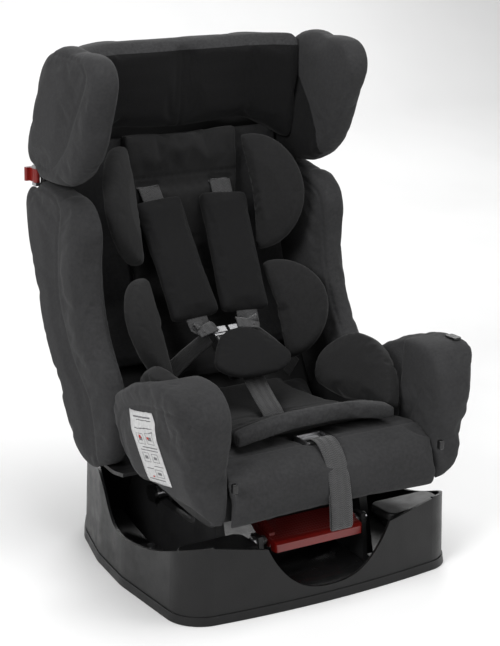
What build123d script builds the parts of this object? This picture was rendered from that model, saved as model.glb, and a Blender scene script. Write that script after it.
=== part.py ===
"""Convertible child car seat: a padded bucket on a recline base.

Millimetres. +X is the sitting child's left as seen from the front, +Y points back, +Z up.
The origin is on the floor, midway across and midway along the seat.
Side outlines are (y, z) points; the seat is the same on both sides of x = 0.
"""
from build123d import *
from math import cos, hypot, radians, sin
import os

os.makedirs("parts", exist_ok=True)

# ---------------------------------------------------------------- driving dimensions
GAP = 0.5                    # clearance between pieces that meet
SHELL_T = 5                  # moulded bucket wall
TORSO_X = 205                # outer face of the torso and head wings
HIP_X = 222                  # outer face of the hip wings at their rims
INNER_X = 168                # inner face of the torso and head wings
WALL_X = 186                 # inner face of the bucket's side walls
HIP_LEAN = 17                # degrees that the hip walls lean out
HIP_FOOT = (163, 135)        # x and z of the foot of a leaning hip wall
WALL_INSET = 11              # how far a wing's edge stands out past the bucket wall in it
HIP_WALL_INSET = 10

# recline: the bucket slides round a centre above the seat
RECLINE_Y, RECLINE_Z = -40, 420
RECLINE_DEG = 15
AXLE_R = 8                   # axle tube radius
AXLE_ARC_R = 338             # radius at which the axle tube travels
AXLE_REST_DEG = 11           # how far behind the lowest point the axle stands upright
RAIL_TOP_R = 312             # top of the cradle rails
CRADLE_X, CRADLE_T = 104, 12  # cradle rail inner face and thickness
RUNNER_X, RUNNER_T = 88, 12  # runner inner face and thickness

# base
BASE_FRONT_Y, BASE_REAR_Y = -213, 196
BASE_X = 205
BASE_T = 4
BASE_TOP_Z = 124
FOOT_H = 3
SCOOP_X, SCOOP_Z = 92, 84    # half width and height of the hand scoop's mouth
SCOOP_BOTTOM_Z = 20
TRAY_X = 70                  # half width of the inner tray

# recline handle
HANDLE_X = 66                # half width of the grip
HANDLE_Y, HANDLE_Z = -160, 76  # pivot

# harness: one line from the shoulder slots down to the crotch
STRAP_W, STRAP_T = 32, 1.6
SHOULDER_X = 56
SLOT_YZ = (172, 468)         # where a shoulder strap leaves the back
CROTCH_YZ = (-74, 208)       # where the crotch strap leaves the seat

# ---------------------------------------------------------------- outlines, (y, z)
BACK_LINE = [(-207, 134), (-203, 168), (10, 134), (72, 142), (150, 272), (190, 400), (198, 520), (183, 652)]
BACK_RADII = [12, 60, 55, 150, 150, 150]
HEAD_WING = [(96, 664), (140, 661), (170, 640), (194, 593), (213, 547), (219, 522), (206, 496),
             (160, 486), (124, 488), (98, 496), (74, 511), (46, 549), (27, 594), (16, 632),
             (28, 656), (57, 664)]
TORSO_WING = [(104, 476), (150, 482), (200, 482), (229, 464), (225, 417), (204, 353), (180, 283),
              (147, 222), (119, 177), (83, 138), (48, 128), (18, 142), (-6, 190), (4, 240),
              (36, 290), (58, 340), (63, 403), (67, 450)]
HIP_WING = [(-24, 190), (-52, 148), (-97, 125), (-166, 113), (-205, 120), (-218, 150), (-214, 190),
            (-222, 237), (-219, 277), (-196, 298), (-150, 302), (-102, 292), (-50, 268), (-24, 240)]
# the hip wing's outer face from the front, (x, z): it swells out from under the seat to the rim
HIP_FACE = [(150, 100), (158, 118), (174, 128), (189, 150), (197, 172), (217, 258), (HIP_X, 285), (HIP_X, 330)]
BASE_TOP = [(-240, 100), (-189, 98), (-129, 78), (-78, 67), (-39, 64), (-5, 69), (20, 90),
            (48, 118), (90, BASE_TOP_Z), (240, BASE_TOP_Z)]


def save(part, name):
    """Name a finished piece and write it."""
    part.label = name
    export_step(part, f"parts/{name}.step")


def save_pair(right, name):
    """Write a right-hand piece and its mirror image on the left."""
    save(right, f"{name}_right")
    save(mirror(right, about=Plane.YZ), f"{name}_left")


def arc_point(radius, angle):
    """A point on the recline arc, its angle counted back from the lowest point."""
    a = radians(angle)
    return (RECLINE_Y + radius * sin(a), RECLINE_Z - radius * cos(a))


def shrink(outline, inset):
    """A clockwise outline's points moved inwards, each along the bisector of its neighbours."""
    points = []
    for i, (y, z) in enumerate(outline):
        ahead, behind = outline[(i + 1) % len(outline)], outline[i - 1]
        run_y, run_z = ahead[0] - behind[0], ahead[1] - behind[1]
        step = inset / hypot(run_y, run_z)
        points.append((y + run_z * step, z - run_y * step))
    return points


def side_solid(outline, x_low, x_high, edge_r=0.0, inset=0.0):
    """A solid with a smooth closed side outline, between two x positions."""
    with BuildPart() as solid:
        with BuildSketch(Plane.YZ.offset(x_low)):
            with BuildLine():
                Spline(*shrink(outline, inset), periodic=True)
            make_face()
        extrude(amount=x_high - x_low)
        if edge_r:
            fillet(solid.edges(), edge_r)
    return solid.part


def side_plate(outline, x_low, x_high):
    """A solid with a straight-sided side outline, between two x positions."""
    with BuildPart() as plate:
        with BuildSketch(Plane.YZ.offset(x_low)):
            with BuildLine():
                Polyline(*outline, close=True)
            make_face()
        extrude(amount=x_high - x_low)
    return plate.part


def leaning_plate(outline, low, high, inset=0.0):
    """A plate with a smooth side outline that leans out with the hip wall, low to high off its inner face."""
    lean = radians(HIP_LEAN)
    tilted = Plane(origin=(HIP_FOOT[0] + low, 0, HIP_FOOT[1]), x_dir=(0, 1, 0),
                   z_dir=(cos(lean), 0, -sin(lean)))
    raised = [(y, (z - HIP_FOOT[1]) / cos(lean)) for y, z in shrink(outline, inset)]
    with BuildPart() as plate:
        with BuildSketch(tilted):
            with BuildLine():
                Spline(*raised, periodic=True)
            make_face()
        extrude(amount=high - low)
    return plate.part


def beyond_hip_face(inset, y_front, y_rear):
    """Everything outside the hip wing's outer face, drawn inset from it, between two y positions."""
    with BuildPart() as outside:
        with BuildSketch(Plane.XZ.offset(-y_rear)):
            with BuildLine():
                Polyline(*[(x - inset, z) for x, z in HIP_FACE], (320, 330), (320, 100), close=True)
            make_face()
        extrude(amount=y_rear - y_front)
    return outside.part


def arc_band(r_inner, r_outer, deg_low, deg_high, x_low, x_high):
    """A plate that follows the recline arc, between two radii and two angles."""
    with BuildPart() as band:
        with BuildSketch(Plane.YZ.offset(x_low)):
            with BuildLine():
                angles = (deg_low, (deg_low + deg_high) / 2, deg_high)
                for radius in (r_inner, r_outer):
                    ThreePointArc(*[arc_point(radius, angle) for angle in angles])
                for angle in (deg_low, deg_high):
                    Line(arc_point(r_inner, angle), arc_point(r_outer, angle))
            make_face()
        extrude(amount=x_high - x_low)
    return band.part


def bucket_zone(shift, x_low, x_high):
    """Everything in front of and above the bucket's back line, moved back by shift."""
    with BuildPart() as zone:
        with BuildSketch(Plane.YZ.offset(x_low)):
            with BuildLine():
                FilletPolyline(*BACK_LINE, radius=BACK_RADII)
                Polyline(BACK_LINE[-1], (183, 720), (-420, 720), (-420, 134), BACK_LINE[0])
            make_face()
            with BuildLine():
                FilletPolyline(*BACK_LINE, radius=BACK_RADII)
            trace(line_width=2 * abs(shift), mode=Mode.ADD if shift > 0 else Mode.SUBTRACT)
        extrude(amount=x_high - x_low)
    return zone.part


def shell_room(x_low, x_high):
    """The bucket's back and pan, with clearance, and everything behind and below them."""
    with BuildPart() as room:
        with BuildSketch(Plane.YZ.offset(x_low)):
            with BuildLine():
                FilletPolyline(*BACK_LINE, radius=BACK_RADII)
                Polyline(BACK_LINE[-1], (183, 720), (420, 720), (420, 50), (BACK_LINE[0][0], 50),
                         BACK_LINE[0])
            make_face()
            with BuildLine():
                FilletPolyline(*BACK_LINE, radius=BACK_RADII)
            trace(line_width=SHELL_T + 2 * GAP)
        extrude(amount=x_high - x_low)
    return room.part


def webbing(points, width=STRAP_W, thickness=STRAP_T):
    """Flat webbing laid through (x, y, z) points, its width always square to its run."""
    with BuildPart() as web:
        for a, b in zip(points, points[1:]):
            start, run = Vector(*a), Vector(*b) - Vector(*a)
            face = Plane(origin=start + run / 2, x_dir=run, z_dir=Vector(1, 0, 0).cross(run))
            with Locations(face):
                Box(run.length + thickness / 2, width, thickness)
    return web.part


def x_rod(radius, x_low, x_high, y, z):
    """A round rod along x."""
    with BuildPart() as rod:
        with BuildSketch(Plane.YZ.offset(x_low)):
            with Locations((y, z)):
                Circle(radius)
        extrude(amount=x_high - x_low)
    return rod.part


# ================================================================ base
def base_outline(inset):
    """The base's plan, a soft trapezium with a bowed front, drawn inset from its outer wall."""
    with BuildSketch() as plan:
        with BuildLine():
            ThreePointArc((-BASE_X, -197), (0, BASE_FRONT_Y), (BASE_X, -197))
            Polyline((BASE_X, -197), (BASE_X, -40), (BASE_X - 12, 45), (BASE_X - 36, 128),
                     (132, BASE_REAR_Y), (-132, BASE_REAR_Y), (36 - BASE_X, 128), (12 - BASE_X, 45),
                     (-BASE_X, -40), (-BASE_X, -197))
        make_face()
        fillet(plan.vertices().filter_by(lambda v: v.Y < -150), 44)
        fillet(plan.vertices().filter_by(lambda v: v.Y > 150), 56)
        fillet(plan.vertices().filter_by(lambda v: -80 < v.Y < 150 and v.Y > -60 and abs(v.X) > 150), 90)
        if inset:
            offset(amount=-inset)
    return plan.sketch


with BuildPart() as base_shell:
    with BuildSketch():
        add(base_outline(0))
    extrude(amount=BASE_TOP_Z + 10, taper=1.5)
    with BuildSketch():
        add(base_outline(-2.5))
    extrude(amount=11, taper=8)
    # the hollow above the floor, and the shallow recess under it
    with BuildSketch(Plane.XY.offset(FOOT_H + BASE_T)):
        add(base_outline(BASE_T))
    extrude(amount=BASE_TOP_Z + 20, taper=1.5, mode=Mode.SUBTRACT)
    with BuildSketch():
        add(base_outline(22))
    extrude(amount=FOOT_H, mode=Mode.SUBTRACT)
    # the side walls dip in a saddle under the hip wings
    with BuildSketch(Plane.YZ):
        with BuildLine():
            Spline(*BASE_TOP)
            Polyline(BASE_TOP[-1], (240, 200), (-240, 200), BASE_TOP[0])
        make_face()
    extrude(amount=BASE_X + 20, both=True, mode=Mode.SUBTRACT)
    # the front wall's top edge drops towards the hand scoop
    with BuildSketch(Plane.XZ.offset(150)):
        with BuildLine():
            Polyline((-185, 130), (-165, 98), (-SCOOP_X, SCOOP_Z), (SCOOP_X, SCOOP_Z), (165, 98),
                     (185, 130), close=True)
        make_face()
    extrude(amount=100, mode=Mode.SUBTRACT)
    with BuildSketch(Plane.XZ.offset(180)):
        with BuildLine():
            Spline((-SCOOP_X, SCOOP_Z), (-70, 50), (-40, 27), (0, SCOOP_BOTTOM_Z), (40, 27), (70, 50),
                   (SCOOP_X, SCOOP_Z))
            Polyline((SCOOP_X, SCOOP_Z), (SCOOP_X, 130), (-SCOOP_X, 130), (-SCOOP_X, SCOOP_Z))
        make_face()
    extrude(amount=60, mode=Mode.SUBTRACT)
    # pockets for the rubber feet
    with BuildSketch():
        with Locations((150, -188), (-150, -188), (110, 183), (-110, 183)):
            SlotOverall(52, 12)
    extrude(amount=2, mode=Mode.SUBTRACT)
save(base_shell.part, "base_shell")

with BuildPart() as rubber_feet:
    with BuildSketch():
        with Locations((150, -188), (-150, -188), (110, 183), (-110, 183)):
            SlotOverall(51.6, 11.6)
    extrude(amount=2)
save(rubber_feet.part, "rubber_feet")

# two rails with the curved slots that the axle tube rides in
SLOT_LOW, SLOT_HIGH = AXLE_REST_DEG - RECLINE_DEG, AXLE_REST_DEG
with BuildPart() as cradle:
    add(arc_band(RAIL_TOP_R, 420, -14, 22, CRADLE_X, CRADLE_X + CRADLE_T))
    with BuildSketch(Plane.YZ.offset(CRADLE_X)):
        with Locations((0, -50)):
            Rectangle(400, 100 + 2 * (FOOT_H + BASE_T + GAP))
    extrude(amount=CRADLE_T, mode=Mode.SUBTRACT)
    add(arc_band(AXLE_ARC_R - AXLE_R - 0.5, AXLE_ARC_R + AXLE_R + 0.5, SLOT_LOW, SLOT_HIGH,
                 CRADLE_X, CRADLE_X + CRADLE_T), mode=Mode.SUBTRACT)
    for angle in (SLOT_LOW, SLOT_HIGH):
        slot_end = x_rod(AXLE_R + 0.5, CRADLE_X, CRADLE_X + CRADLE_T, *arc_point(AXLE_ARC_R, angle))
        add(slot_end, mode=Mode.SUBTRACT)
    with BuildSketch(Plane.XY.offset(FOOT_H + BASE_T + GAP)):
        with Locations((CRADLE_X + CRADLE_T + 9, -20)):
            Rectangle(18, 120)
    extrude(amount=5)
save_pair(cradle.part, "cradle")

with BuildPart() as cradle_screws:
    with Locations(*[(side * (CRADLE_X + CRADLE_T + 10), y, FOOT_H + BASE_T + GAP + 5)
                     for side in (-1, 1) for y in (-64, 24)]):
        Cylinder(5.5, 3.5, align=(Align.CENTER, Align.CENTER, Align.MIN))
save(cradle_screws.part, "cradle_screws")

# inner tray behind the hand scoop: a floor that sweeps up to the rear
with BuildPart() as base_tray:
    with BuildSketch(Plane.YZ):
        with BuildLine():
            Spline((-202, 12), (-186, 22), (-160, 27), (-130, 28), (-104, 48))
        trace(line_width=3)
    extrude(amount=TRAY_X, both=True)
    with BuildSketch(Plane.XY.offset(FOOT_H + BASE_T + GAP)):
        with Locations((0, -150)):
            Rectangle(2 * TRAY_X, 5)
    extrude(amount=19)
save(base_tray.part, "base_tray")

# textured shelves inside the two front corners
with BuildPart() as corner_shelf:
    with BuildSketch(Plane.XY.offset(80)):
        with Locations((146, -176)):
            RectangleRounded(96, 52, 14)
    extrude(amount=9)
    fillet(corner_shelf.edges().group_by(Axis.Z)[-1], 3)
    with BuildSketch(Plane.XY.offset(60)):
        with Locations((146, -172)):
            Rectangle(70, 5)
    extrude(amount=20)
    with BuildSketch(Plane.XY):
        add(base_outline(BASE_T + 5.5))
    extrude(amount=120, mode=Mode.INTERSECT)
save_pair(corner_shelf.part, "corner_shelf")

# ================================================================ recline handle
PIVOT = (HANDLE_Y, HANDLE_Z)
ARM_X, ARM_T = 57, 8         # the handle's side arms
BRACKET_X, BRACKET_T = 75, 7
BOLT_R = 4
LOCK_DEG, LOCK_R = -11.7, 4  # where the lock bar meets the rack, and its radius
RACK_TIP_R = 316             # lower edge of the rack's teeth
LOCK_YZ = arc_point(RACK_TIP_R + LOCK_R + 0.6, LOCK_DEG)

bracket = side_plate([(-178, 7.5), (-142, 7.5), (-151, 84), (-169, 84)], BRACKET_X, BRACKET_X + BRACKET_T)
with BuildPart() as handle_brackets:
    add(bracket)
    add(x_rod(BOLT_R, BRACKET_X, BRACKET_X + BRACKET_T, *PIVOT), mode=Mode.SUBTRACT)
    mirror(about=Plane.YZ)
save(handle_brackets.part, "handle_brackets")

with BuildPart() as handle_pivot_bolts:
    add(x_rod(BOLT_R, ARM_X - 1, BRACKET_X + BRACKET_T, *PIVOT))
    add(x_rod(7, BRACKET_X + BRACKET_T, BRACKET_X + BRACKET_T + 5, *PIVOT))
    fillet(handle_pivot_bolts.edges().group_by(Axis.X)[-1], 1.5)
    mirror(about=Plane.YZ)
save(handle_pivot_bolts.part, "handle_pivot_bolts")

with BuildPart() as handle_springs:
    with BuildLine():
        coil = Helix(pitch=1.9, height=5.6, radius=5.4, center=(HANDLE_X + 1.8, *PIVOT),
                     direction=(1, 0, 0))
    with BuildSketch(Plane(origin=coil @ 0, z_dir=coil % 0)):
        Circle(0.7)
    sweep(is_frenet=True)
    mirror(about=Plane.YZ)
save(handle_springs.part, "handle_springs")

# the red lever: a grip lip and a ribbed finger plate in front of the pivot, two arms behind it
with BuildPart() as recline_handle:
    with BuildSketch(Plane.YZ):
        with BuildLine():
            Polyline((-185, 66), (-185, 76), (-181, 79), (-138, 90), (-138, 85), (-172, 75), (-174, 66),
                     close=True)
        make_face()
    extrude(amount=HANDLE_X, both=True)
    fillet(recline_handle.edges().filter_by(Axis.Z), 4)
    with BuildSketch(Plane.XZ.offset(174)):
        with GridLocations(13, 20, 9, 1):
            with Locations((0, 75)):
                Rectangle(3, 10)
    extrude(amount=-34)
    eye_front, eye_rear = LOCK_YZ[0] - 7, LOCK_YZ[0] + 7
    eye_low, eye_high = LOCK_YZ[1] - 6, LOCK_YZ[1] + 6
    arm = [(-168, 68), (-150, 68), (eye_rear, eye_low), (eye_rear, eye_high), (eye_front, eye_high),
           (-168, 86)]
    for x_low in (ARM_X, -ARM_X - ARM_T):
        add(side_plate(arm, x_low, x_low + ARM_T))
        add(x_rod(BOLT_R + 0.05, x_low - 1, x_low + ARM_T + 1, *PIVOT), mode=Mode.SUBTRACT)
        add(x_rod(LOCK_R, x_low - 1, x_low + ARM_T + 1, *LOCK_YZ), mode=Mode.SUBTRACT)
    add(x_rod(BOLT_R + 0.6, -ARM_X, -ARM_X + 3, *PIVOT), mode=Mode.SUBTRACT)
    add(x_rod(BOLT_R + 0.6, ARM_X - 3, ARM_X, *PIVOT), mode=Mode.SUBTRACT)
save(recline_handle.part, "recline_handle")

save(x_rod(LOCK_R, -ARM_X - ARM_T, ARM_X + ARM_T, *LOCK_YZ), "lock_bar")

# ================================================================ bucket
SLOT_BOX = (STRAP_W + 5, 120, 12)
with BuildPart() as strap_slots:
    with Locations((SHOULDER_X, SLOT_YZ[0] + 20, SLOT_YZ[1]), (-SHOULDER_X, SLOT_YZ[0] + 20, SLOT_YZ[1])):
        Box(*SLOT_BOX)
with BuildPart() as crotch_slot:
    with Locations((0, CROTCH_YZ[0] - 2, CROTCH_YZ[1] - 20)):
        Box(STRAP_W + 6, 14, 120)
ADJUSTER_YZ = (-166, 184)
with BuildPart() as adjuster_well:
    with Locations((0, ADJUSTER_YZ[0], ADJUSTER_YZ[1])):
        Box(44, 38, 60)

# ribs on the back, clear of the harness in the middle
RIB_YZ = [(130, 225), (153, 290), (173, 355), (191, 420), (197, 485), (195, 550), (188, 610)]
with BuildPart() as shell_ribs:
    for x in (-150, -110, 107, 147):
        with BuildSketch(Plane.YZ.offset(x)):
            with BuildLine():
                FilletPolyline((105, 197), *BACK_LINE[4:], radius=BACK_RADII[3:])
            trace(line_width=34)
        extrude(amount=3)
    with Locations(*[(side * 137, y + 8, z) for side in (-1, 1) for y, z in RIB_YZ]):
        Box(101, 18, 3)
    add(bucket_zone(0.1, -195, 195), mode=Mode.SUBTRACT)

HIP_REAR_Y = -17             # the hip walls end ahead of the torso wings
BACK_CORNER_R = 60
with BuildPart() as seat_shell:
    # back and seat in one sweep of the back line
    with BuildSketch(Plane.YZ):
        with BuildLine():
            FilletPolyline(*BACK_LINE, radius=BACK_RADII)
        trace(line_width=SHELL_T)
    extrude(amount=WALL_X + SHELL_T - 1, both=True)
    add(shell_ribs.part)
    # the pan narrows between the hip walls, and the back's top corners are round
    hip_trim = beyond_hip_face(16, -230, HIP_REAR_Y)
    with BuildPart(mode=Mode.PRIVATE) as corner_trim:
        with BuildSketch(Plane.XZ.offset(-240)):
            with Locations((WALL_X - BACK_CORNER_R / 2 + 12, 652 - BACK_CORNER_R / 2 + 12)):
                Rectangle(BACK_CORNER_R + 24, BACK_CORNER_R + 24)
            with Locations((WALL_X - BACK_CORNER_R, 652 - BACK_CORNER_R)):
                Circle(BACK_CORNER_R, mode=Mode.SUBTRACT)
        extrude(amount=100)
    for trim in (hip_trim, corner_trim.part):
        add(trim, mode=Mode.SUBTRACT)
        add(mirror(trim, about=Plane.YZ), mode=Mode.SUBTRACT)
    hip_wall = leaning_plate(HIP_WING, 0, SHELL_T, HIP_WALL_INSET)
    for wall in (side_solid(HEAD_WING, WALL_X, WALL_X + SHELL_T, inset=WALL_INSET),
                 side_solid(TORSO_WING, WALL_X, WALL_X + SHELL_T, inset=WALL_INSET), hip_wall):
        add(wall)
        add(mirror(wall, about=Plane.YZ))
    add(strap_slots.part, mode=Mode.SUBTRACT)
    add(crotch_slot.part, mode=Mode.SUBTRACT)
    add(adjuster_well.part, mode=Mode.SUBTRACT)
save(seat_shell.part, "seat_shell")

# runners under the pan carry the axle tube round the recline arc
AXLE_YZ = arc_point(AXLE_ARC_R, AXLE_REST_DEG)
under_pan = bucket_zone(SHELL_T / 2 + GAP, -150, 150)
with BuildPart() as runner:
    add(arc_band(265, 328, -13, 25, RUNNER_X, RUNNER_X + RUNNER_T))
    add(x_rod(AXLE_R + 7, RUNNER_X, RUNNER_X + RUNNER_T, *AXLE_YZ))
    add(x_rod(AXLE_R, RUNNER_X, RUNNER_X + RUNNER_T, *AXLE_YZ), mode=Mode.SUBTRACT)
    add(under_pan, mode=Mode.SUBTRACT)
save_pair(runner.part, "runner")

AXLE_END_X = CRADLE_X + CRADLE_T + 6
with BuildPart() as axle_tube:
    add(x_rod(AXLE_R, -AXLE_END_X, AXLE_END_X, *AXLE_YZ))
    add(x_rod(AXLE_R - 1.5, -AXLE_END_X, AXLE_END_X, *AXLE_YZ), mode=Mode.SUBTRACT)
save(axle_tube.part, "axle_tube")

with BuildPart() as axle_caps:
    add(x_rod(AXLE_R + 4, AXLE_END_X, AXLE_END_X + 4, *AXLE_YZ))
    add(x_rod(AXLE_R - 1.5, AXLE_END_X - 10, AXLE_END_X, *AXLE_YZ))
    mirror(about=Plane.YZ)
save(axle_caps.part, "axle_caps")

# two toothed strips under the pan; each notch is one recline position
RACK_X, RACK_T, RACK_STEPS = 26, 10, 4
with BuildPart() as lock_rack:
    add(arc_band(262, RACK_TIP_R, LOCK_DEG - 4, LOCK_DEG + RECLINE_DEG + 4, RACK_X, RACK_X + RACK_T))
    for step in range(RACK_STEPS):
        angle = LOCK_DEG + step * RECLINE_DEG / (RACK_STEPS - 1)
        notch = x_rod(LOCK_R + 2, RACK_X, RACK_X + RACK_T, *arc_point(RACK_TIP_R - 1, angle))
        add(notch, mode=Mode.SUBTRACT)
    add(under_pan, mode=Mode.SUBTRACT)
    mirror(about=Plane.YZ)
save(lock_rack.part, "lock_rack")

# ================================================================ covers
PLATE_ROOM = 0.6             # room round a bucket wall inside its cover


def wing_cover(outline, inner_x, outer_x, wall_x, wall_inset, edge_r):
    """A padded cap over one wing: full depth outside the wall, in front of the back line inside it."""
    with BuildPart() as cover:
        add(side_solid(outline, inner_x, outer_x, edge_r))
        add(side_solid(outline, wall_x - PLATE_ROOM, wall_x + SHELL_T + PLATE_ROOM,
                       inset=wall_inset - PLATE_ROOM), mode=Mode.SUBTRACT)
        add(shell_room(inner_x - 1, wall_x + SHELL_T), mode=Mode.SUBTRACT)
    return cover.part


guide_room = Pos(205, 213, 489) * Box(60, 50, 30)
head_cover = wing_cover(HEAD_WING, INNER_X, TORSO_X, WALL_X, WALL_INSET, 12)
save_pair(head_cover - guide_room, "head_wing_cover")
torso_cover = wing_cover(TORSO_WING, INNER_X, TORSO_X, WALL_X, WALL_INSET, 12)
save_pair(torso_cover - guide_room, "torso_wing_cover")

# hip wing: a padded bowl side that leans out, its foot tucked under the seat roll
with BuildPart() as hip_cover:
    add(side_solid(HIP_WING, 152, HIP_X))
    with BuildSketch(Plane.XY.offset(100)):
        with BuildLine():
            Polyline((100, -222), (HIP_X - 22, -222), (HIP_X, -200), (HIP_X, -18), (100, -18), close=True)
        make_face()
    extrude(amount=240, mode=Mode.INTERSECT)
    with BuildSketch(Plane.XZ.offset(-60)):
        with BuildLine():
            Polyline((100, 120), (152, 120), (152, 172), (196, 276), (198, 340), (100, 340), close=True)
        make_face()
    extrude(amount=200, mode=Mode.SUBTRACT)
    add(beyond_hip_face(0, -240, 0), mode=Mode.SUBTRACT)
    add(leaning_plate(HIP_WING, -PLATE_ROOM, SHELL_T + PLATE_ROOM, HIP_WALL_INSET - PLATE_ROOM),
        mode=Mode.SUBTRACT)
    add(shell_room(100, 181), mode=Mode.SUBTRACT)
save_pair(hip_cover.part, "hip_wing_cover")

# base cover on the back, and the seat cushion whose roll wraps the pan's front lip
with BuildPart() as back_cover:
    with BuildSketch(Plane.YZ):
        with BuildLine():
            FilletPolyline((108, 236), (136, 280), (174, 400), (182, 520), (180, 534),
                           radius=(150, 150, 40))
        trace(line_width=9)
    extrude(amount=INNER_X - 4, both=True)
    add(strap_slots.part, mode=Mode.SUBTRACT)
save(back_cover.part, "back_cover")

ROLL = [(-206, 122), (-218, 132), (-219, 158), (-208, 188), (-182, 201), (-150, 197), (-60, 178),
        (40, 172), (84, 192), (96, 184)]
with BuildPart() as seat_cushion:
    with BuildSketch(Plane.YZ):
        with BuildLine():
            Spline(*ROLL)
            Polyline(ROLL[-1], (66, 130), (-206, 122))
        make_face()
    extrude(amount=151, both=True)
    add(shell_room(-160, 160), mode=Mode.SUBTRACT)
    add(crotch_slot.part, mode=Mode.SUBTRACT)
    add(adjuster_well.part, mode=Mode.SUBTRACT)
save(seat_cushion.part, "seat_cushion")

with BuildPart() as head_panel:
    with BuildSketch(Plane.YZ):
        with BuildLine():
            Spline((170, 541), (164, 560), (160, 600), (157, 640), (160, 658), (172, 665), (184, 662),
                   (188, 654))
            Polyline((188, 654), (179, 652), (190, 560), (190, 541), (170, 541))
        make_face()
    extrude(amount=INNER_X - 1, both=True)
save(head_panel.part, "head_panel")

# ================================================================ infant insert
INSERT_X = 88                # half width of the insert's back
SEAM_X = 95                  # where the bolsters are sewn on
with BuildPart() as insert_back:
    with BuildSketch(Plane.YZ):
        with BuildLine():
            FilletPolyline((70, 214), (121, 290), (158, 398), (167, 470), (165, 536), radius=(60, 150, 150))
        trace(line_width=15)
    extrude(amount=INSERT_X, both=True)
    add(strap_slots.part, mode=Mode.SUBTRACT)
save(insert_back.part, "insert_back")


def bolster(seam_low, seam_high, out, depth, thickness, top_share=0.5):
    """A D-shaped pad that stands out from a seam, towards out, deepest at top_share of its height."""
    low, high = Vector(*seam_low), Vector(*seam_high)
    up = high - low
    face = Plane(origin=low, x_dir=up, z_dir=up.cross(Vector(*out)))
    length = up.length
    with BuildPart() as pad:
        with BuildSketch(face):
            with BuildLine():
                Spline((0, 0), (length * 0.14, depth * 0.7), (length * top_share, depth),
                       (length * 0.9, depth * 0.62), (length, 0))
                Line((length, 0), (0, 0))
            make_face()
        extrude(amount=thickness / 2, both=True)
        fillet(pad.edges().filter_by(GeomType.BSPLINE), thickness * 0.36)
    return pad.part


save_pair(bolster((SEAM_X, 112, 372), (SEAM_X, 160, 524), (56, -52, 14), 74, 22, 0.46), "head_bolster")
save_pair(bolster((SEAM_X, 34, 238), (SEAM_X, 102, 356), (54, -40, 22), 72, 22, 0.58), "waist_bolster")

# seat pad: a shallow bowl with a raised front lip
with BuildPart() as insert_seat:
    with BuildSketch(Plane.YZ):
        with BuildLine():
            Spline((-178, 226), (-176, 242), (-162, 240), (-120, 213), (-77, 201), (-20, 199), (44, 213))
            Spline((44, 213), (52, 204), (46, 192), (-20, 184), (-77, 187), (-120, 199), (-160, 222),
                   (-178, 226))
        make_face()
    extrude(amount=118, both=True)
    with BuildSketch(Plane.XY.offset(150)):
        with BuildLine():
            Polyline((-86, 60), (86, 60), (107, -60), (117, -178), (-117, -178), (-107, -60), close=True)
        make_face()
    extrude(amount=120, mode=Mode.INTERSECT)
    add(crotch_slot.part, mode=Mode.SUBTRACT)
save(insert_seat.part, "insert_seat")

# thigh bolsters lean out along the hip wings; the outline is (y, height up the lean)
THIGH = [(-157, 12), (-132, 48), (-96, 70), (-62, 78), (-34, 75), (-4, 56), (14, 26), (6, 2), (-40, -8),
         (-92, -6), (-134, 2)]
THIGH_LEAN, THIGH_T = 27, 22
THIGH_FOOT = (115, 217)      # x and z where the inner face starts to lean
with BuildPart() as thigh_bolster:
    lean_out = (cos(radians(THIGH_LEAN)), 0, -sin(radians(THIGH_LEAN)))
    with BuildSketch(Plane(origin=(THIGH_FOOT[0], 0, THIGH_FOOT[1]), x_dir=(0, 1, 0), z_dir=lean_out)):
        with BuildLine():
            Spline(*THIGH, periodic=True)
        make_face()
    extrude(amount=THIGH_T)
    fillet(thigh_bolster.edges().filter_by(GeomType.BSPLINE), 3)
save_pair(thigh_bolster.part, "thigh_bolster")

# ================================================================ harness
PAD_TOP, PAD_LOW = (51, 144, 452), (38, 54, 306)


def on_plane(origin, run, width_dir=(1, 0, 0)):
    """A plane at origin whose local x follows run and whose local z leaves the seat."""
    return Plane(origin=origin, x_dir=run, z_dir=Vector(*run).cross(Vector(*width_dir)))


strap_path = [(56, 214, 446), (56, 206, 468), (56, 158, 468), PAD_TOP, PAD_LOW, (34, 46, 299),
              (30, 33, 289.5)]
save_pair(webbing(strap_path), "shoulder_strap")

pad_run = Vector(*PAD_LOW) - Vector(*PAD_TOP)
pad_mid = (Vector(*PAD_LOW) + Vector(*PAD_TOP)) / 2
PAD_W = 64
with BuildPart() as shoulder_pad:
    with Locations(on_plane(pad_mid, pad_run)):
        Box(pad_run.length - 14, PAD_W, 17)
    fillet(shoulder_pad.edges(), 6)
    with Locations(on_plane(pad_mid, pad_run)):
        Box(pad_run.length + 4, STRAP_W + 2, STRAP_T + 1.4, mode=Mode.SUBTRACT)
save_pair(shoulder_pad.part, "shoulder_pad")

# buckle: a housing on the crotch strap, its button in the face under the pad
BUCKLE_MID = Vector(0, 6, 264)
BUCKLE_RUN = Vector(0, -126, -92).normalized()     # from the shoulders towards the crotch
buckle_face = on_plane(BUCKLE_MID, BUCKLE_RUN)
BUCKLE_L, BUCKLE_W, BUCKLE_T = 62, 58, 22
BUTTON_L, BUTTON_W, BUTTON_TRAVEL = 20, 26, 3.5


def at_buckle(along, across, out):
    """A plane on the buckle, moved along the strap, across it and outwards."""
    return Plane(origin=buckle_face.from_local_coords(Vector(along, across, out)),
                 x_dir=buckle_face.x_dir, z_dir=buckle_face.z_dir)


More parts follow.
